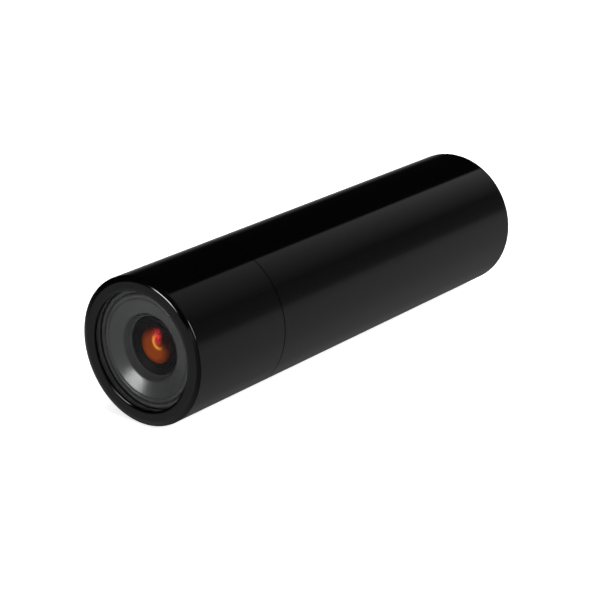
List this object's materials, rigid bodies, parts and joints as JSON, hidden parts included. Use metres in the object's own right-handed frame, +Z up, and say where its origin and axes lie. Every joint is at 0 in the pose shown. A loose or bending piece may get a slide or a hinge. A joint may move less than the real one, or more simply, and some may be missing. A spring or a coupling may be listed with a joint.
{
  "type": "guide camera",
  "caption": "Round tube guide camera in gloss black with a small lens behind a flat front window, a screw-on front barrel and sockets in its rear cap",
  "frame": {"origin": "on the optical axis, halfway along the tube, at the centre of the overall box", "axes": "+Y along the optical axis from the window to the sockets, +Z up with the guide port above the USB socket, +X to the right when the window is looked at"},
  "size_m": [0.0318, 0.1138, 0.0318],
  "materials": {
    "black_anodised_shell": "gloss black hard-anodised and lacquered aluminium, mirror-like",
    "grey_anodised_shroud": "dark grey anodised, satin, fine turning marks",
    "inner_black_metal": "matt black anodised",
    "bare_aluminium": "as machined",
    "steel": "plated",
    "contact_gold": "gold flashed",
    "lens_black": "matt black anodised, slightly purple",
    "rubber": "satin black",
    "grey_rubber": "satin grey",
    "window_glass": "polished flat, anti-reflection coated",
    "coated_glass": "polished, orange-red coating",
    "filter_glass": "polished, coated",
    "sensor_ceramic": "matt ceramic package with a glossy die",
    "circuit_board": "green solder mask over glass-fibre laminate",
    "chip_plastic": "moulded epoxy",
    "inductor_ceramic": "ferrite",
    "black_plastic": "moulded, fine grain",
    "flex_film": "amber polyimide film",
    "light_guide": "clear acrylic"
  },
  "bodies": {
    "camera_body": {"board_connector": "black_plastic", "board_rail_left": "bare_aluminium", "board_rail_right": "bare_aluminium", "board_spacer_1": "steel", "board_spacer_2": "steel", "board_spacer_3": "steel", "clock_crystal": "steel", "flex_cable": "flex_film", "front_bulkhead": "bare_aluminium", "guide_port_contacts": "contact_gold", "guide_port_socket": "black_plastic", "image_sensor": "sensor_ceramic", "ir_cut_filter": "filter_glass", "lamp_light_pipe": "light_guide", "lens_holder": "black_plastic", "lens_holder_screw_left": "steel", "lens_holder_screw_right": "steel", "main_board": "circuit_board", "main_tube": "black_anodised_shell", "memory_chip": "chip_plastic", "power_inductor": "inductor_ceramic", "processor_chip": "chip_plastic", "rail_screw_left": "steel", "rail_screw_right": "steel", "rear_bulkhead": "bare_aluminium", "rear_cap": "black_anodised_shell", "rear_cap_screw_left": "steel", "rear_cap_screw_right": "steel", "rear_gasket": "rubber", "sensor_board": "circuit_board", "sensor_board_screw_1": "steel", "sensor_board_screw_2": "steel", "sensor_board_screw_3": "steel", "sensor_connector": "black_plastic", "sensor_cover_glass": "window_glass", "status_lamp": "light_guide", "usb_socket": "steel", "usb_tongue": "black_plastic"},
    "window_body": {"front_window": "window_glass", "window_gasket": "rubber", "window_o_ring": "grey_rubber"},
    "front_barrel_body": {"front_barrel": "black_anodised_shell", "lens_shroud": "grey_anodised_shroud", "shroud_ring": "inner_black_metal", "seam_o_ring": "rubber"},
    "lens_glass_body": {"lens_front_element": "coated_glass", "lens_aperture_stop": "lens_black", "lens_middle_element": "coated_glass", "lens_rear_element": "coated_glass"},
    "lens_barrel_body": {"lens_barrel": "lens_black", "lens_front_ring": "lens_black"},
    "lock_ring_body": {"lens_lock_ring": "inner_black_metal"}
  },
  "joints": [
    {"name": "front_barrel_travel", "type": "slide", "parent": "camera_body", "child": "window_body", "axis": [0, -1, 0], "range_m": [0, 0.0045]},
    {"name": "front_barrel_turn", "type": "hinge", "parent": "window_body", "child": "front_barrel_body", "pos_m": [0, -0.03005, 0], "axis": [0, -1, 0], "range_deg": [0, 2160]},
    {"name": "lens_focus_travel", "type": "slide", "parent": "camera_body", "child": "lens_glass_body", "axis": [0, -1, 0], "range_m": [-0.001, 0.001]},
    {"name": "lens_focus_turn", "type": "hinge", "parent": "lens_glass_body", "child": "lens_barrel_body", "pos_m": [0, -0.0449, 0], "axis": [0, -1, 0], "range_deg": [-720, 720]},
    {"name": "lock_ring_turn", "type": "hinge", "parent": "camera_body", "child": "lock_ring_body", "pos_m": [0, -0.0439, 0], "axis": [0, -1, 0], "range_deg": [0, 90]}
  ],
  "couplings": [
    {"joint": "front_barrel_travel", "follows": "front_barrel_turn", "m_per_rad": 0.00011937},
    {"joint": "lens_focus_travel", "follows": "lens_focus_turn", "m_per_rad": 0.000079577}
  ]
}
